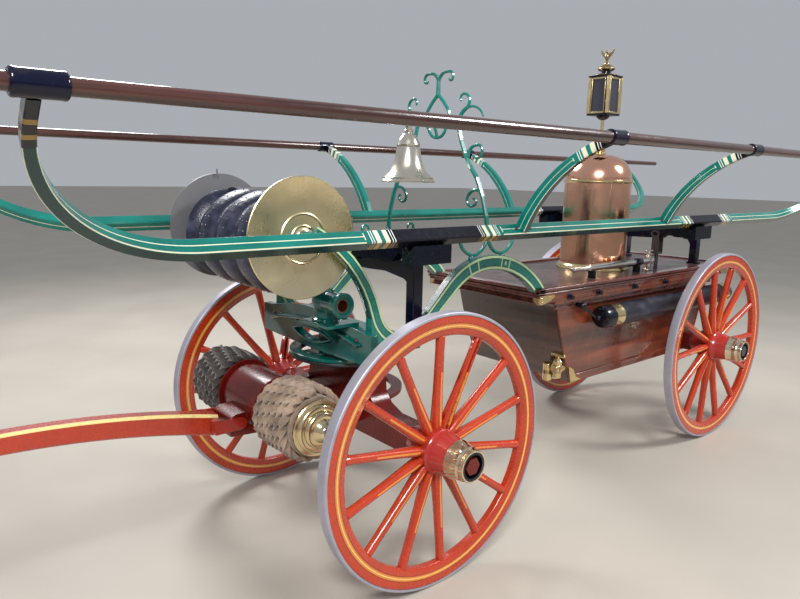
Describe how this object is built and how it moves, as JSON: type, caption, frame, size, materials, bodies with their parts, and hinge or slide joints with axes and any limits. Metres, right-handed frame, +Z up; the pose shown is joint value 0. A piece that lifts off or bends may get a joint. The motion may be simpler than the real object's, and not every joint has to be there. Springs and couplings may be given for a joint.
{
  "type": "hand-pumped fire engine",
  "caption": "Hand-drawn, hand-pumped fire engine with steerable spoked wheels, rocking pump brakes, copper air chamber, hose reel, rope reel, bell and lantern.",
  "frame": {"origin": "centre of the bounding box in plan, on the ground", "axes": "+X towards the tongue, +Y to the vehicle's left, +Z up"},
  "size_m": [6.536, 1.9158, 2.2809],
  "materials": {
    "tub": "varnished mahogany",
    "deck": "dark painted boards",
    "air_chamber": "polished copper",
    "chamber_brass": "polished brass",
    "lantern_frame": "black enamel with brass posts",
    "lantern_glass": "dark glass",
    "crane_neck_near": "green enamel with cream stripes",
    "crane_neck_far": "green enamel with cream stripes",
    "bolster": "green enamel",
    "outlet": "bronze",
    "front_stand": "dark enamel",
    "rear_stand": "dark enamel",
    "bell_frame": "green enamel",
    "rear_axle_bed": "dark red paint",
    "rear_axle_arms": "bare iron",
    "suction_hose_near": "black leather",
    "suction_hose_far": "black leather",
    "play_pipe": "nickel plate",
    "truck_frame": "red paint",
    "truck_irons": "bare iron",
    "rope_spool": "brass",
    "drag_rope": "laid rope",
    "tongue": "red paint with gold stripe",
    "tongue_irons": "iron",
    "reel_core": "iron",
    "reel_disc_near": "polished brass",
    "reel_disc_far": "dark grey iron",
    "reel_hose": "black leather",
    "rocker_front": "dark enamel",
    "rocker_rear": "dark enamel",
    "pump_rod_near": "steel",
    "pump_rod_far": "steel",
    "bell": "nickel-plated bronze",
    "clapper": "iron",
    "brake_lever_near": "green enamel with cream stripes",
    "brake_bar_near": "varnished wood",
    "front_wheel_near": "orange-red paint with gold stripes",
    "front_tyre_near": "worn steel",
    "front_hub_band_near": "brass",
    "rear_wheel_near": "orange-red paint with gold stripes",
    "rear_tyre_near": "worn steel",
    "rear_hub_band_near": "brass",
    "brake_lever_far": "green enamel with cream stripes",
    "brake_bar_far": "varnished wood",
    "front_wheel_far": "orange-red paint with gold stripes",
    "front_tyre_far": "worn steel",
    "front_hub_band_far": "brass",
    "rear_wheel_far": "orange-red paint with gold stripes",
    "rear_tyre_far": "worn steel",
    "rear_hub_band_far": "brass"
  },
  "bodies": {
    "carriage": {"tub": "tub", "deck": "deck", "air_chamber": "air_chamber", "chamber_brass": "chamber_brass", "lantern_frame": "lantern_frame", "lantern_glass": "lantern_glass", "crane_neck_near": "crane_neck_near", "crane_neck_far": "crane_neck_far", "bolster": "bolster", "outlet": "outlet", "front_stand": "front_stand", "rear_stand": "rear_stand", "bell_frame": "bell_frame", "rear_axle_bed": "rear_axle_bed", "rear_axle_arms": "rear_axle_arms", "suction_hose_near": "suction_hose_near", "suction_hose_far": "suction_hose_far", "play_pipe": "play_pipe"},
    "truck": {"truck_frame": "truck_frame", "truck_irons": "truck_irons"},
    "rope_reel": {"rope_spool": "rope_spool", "drag_rope": "drag_rope"},
    "tongue": {"tongue": "tongue", "tongue_irons": "tongue_irons"},
    "hose_reel": {"reel_core": "reel_core", "reel_disc_near": "reel_disc_near", "reel_disc_far": "reel_disc_far", "reel_hose": "reel_hose"},
    "brakes": {"brake_lever_near": "brake_lever_near", "brake_lever_far": "brake_lever_far", "brake_bar_near": "brake_bar_near", "brake_bar_far": "brake_bar_far", "rocker_front": "rocker_front", "rocker_rear": "rocker_rear"},
    "pump_near": {"pump_rod_near": "pump_rod_near"},
    "pump_far": {"pump_rod_far": "pump_rod_far"},
    "bell": {"bell": "bell", "clapper": "clapper"},
    "front_wheel_near": {"front_wheel_near": "front_wheel_near", "front_tyre_near": "front_tyre_near", "front_hub_band_near": "front_hub_band_near"},
    "front_wheel_far": {"front_wheel_far": "front_wheel_far", "front_tyre_far": "front_tyre_far", "front_hub_band_far": "front_hub_band_far"},
    "rear_wheel_near": {"rear_wheel_near": "rear_wheel_near", "rear_tyre_near": "rear_tyre_near", "rear_hub_band_near": "rear_hub_band_near"},
    "rear_wheel_far": {"rear_wheel_far": "rear_wheel_far", "rear_tyre_far": "rear_tyre_far", "rear_hub_band_far": "rear_hub_band_far"}
  },
  "joints": [
    {"name": "steer", "type": "hinge", "parent": "carriage", "child": "truck", "pos_m": [0.798, 0, 0.64], "axis": [0, 0, 1], "range_deg": [-60, 60]},
    {"name": "tongue_lift", "type": "hinge", "parent": "truck", "child": "tongue", "pos_m": [1.343, 0, 0.606], "axis": [0, -1, 0], "range_deg": [0, 45]},
    {"name": "rope_reel_spin", "type": "hinge", "parent": "truck", "child": "rope_reel", "pos_m": [1.202, 0, 0.655], "axis": [0, 1, 0], "continuous": true},
    {"name": "front_wheel_near_spin", "type": "hinge", "parent": "truck", "child": "front_wheel_near", "pos_m": [0.798, 0.56, 0.533], "axis": [0, 1, 0], "continuous": true},
    {"name": "front_wheel_far_spin", "type": "hinge", "parent": "truck", "child": "front_wheel_far", "pos_m": [0.798, -0.56, 0.533], "axis": [0, 1, 0], "continuous": true},
    {"name": "rear_wheel_near_spin", "type": "hinge", "parent": "carriage", "child": "rear_wheel_near", "pos_m": [-1.578, 0.48, 0.564], "axis": [0, 1, 0], "continuous": true},
    {"name": "rear_wheel_far_spin", "type": "hinge", "parent": "carriage", "child": "rear_wheel_far", "pos_m": [-1.578, -0.48, 0.564], "axis": [0, 1, 0], "continuous": true},
    {"name": "hose_reel_spin", "type": "hinge", "parent": "carriage", "child": "hose_reel", "pos_m": [1.202, 0, 1.322], "axis": [0, 1, 0], "continuous": true},
    {"name": "brake_rock", "type": "hinge", "parent": "carriage", "child": "brakes", "pos_m": [-0.268, 0, 1.235], "axis": [1, 0, 0], "range_deg": [-14, 14]},
    {"name": "bell_swing", "type": "hinge", "parent": "carriage", "child": "bell", "pos_m": [0.468, 0, 1.768], "axis": [0, 1, 0], "range_deg": [-25, 25]},
    {"name": "pump_near_stroke", "type": "slide", "parent": "carriage", "child": "pump_near", "axis": [0, 0, 1], "range_m": [-0.062, 0.062]},
    {"name": "pump_far_stroke", "type": "slide", "parent": "carriage", "child": "pump_far", "axis": [0, 0, 1], "range_m": [-0.062, 0.062]}
  ],
  "couplings": [
    {"joint": "pump_near_stroke", "follows": "brake_rock", "m_per_rad": 0.2485},
    {"joint": "pump_far_stroke", "follows": "brake_rock", "m_per_rad": -0.2485}
  ]
}
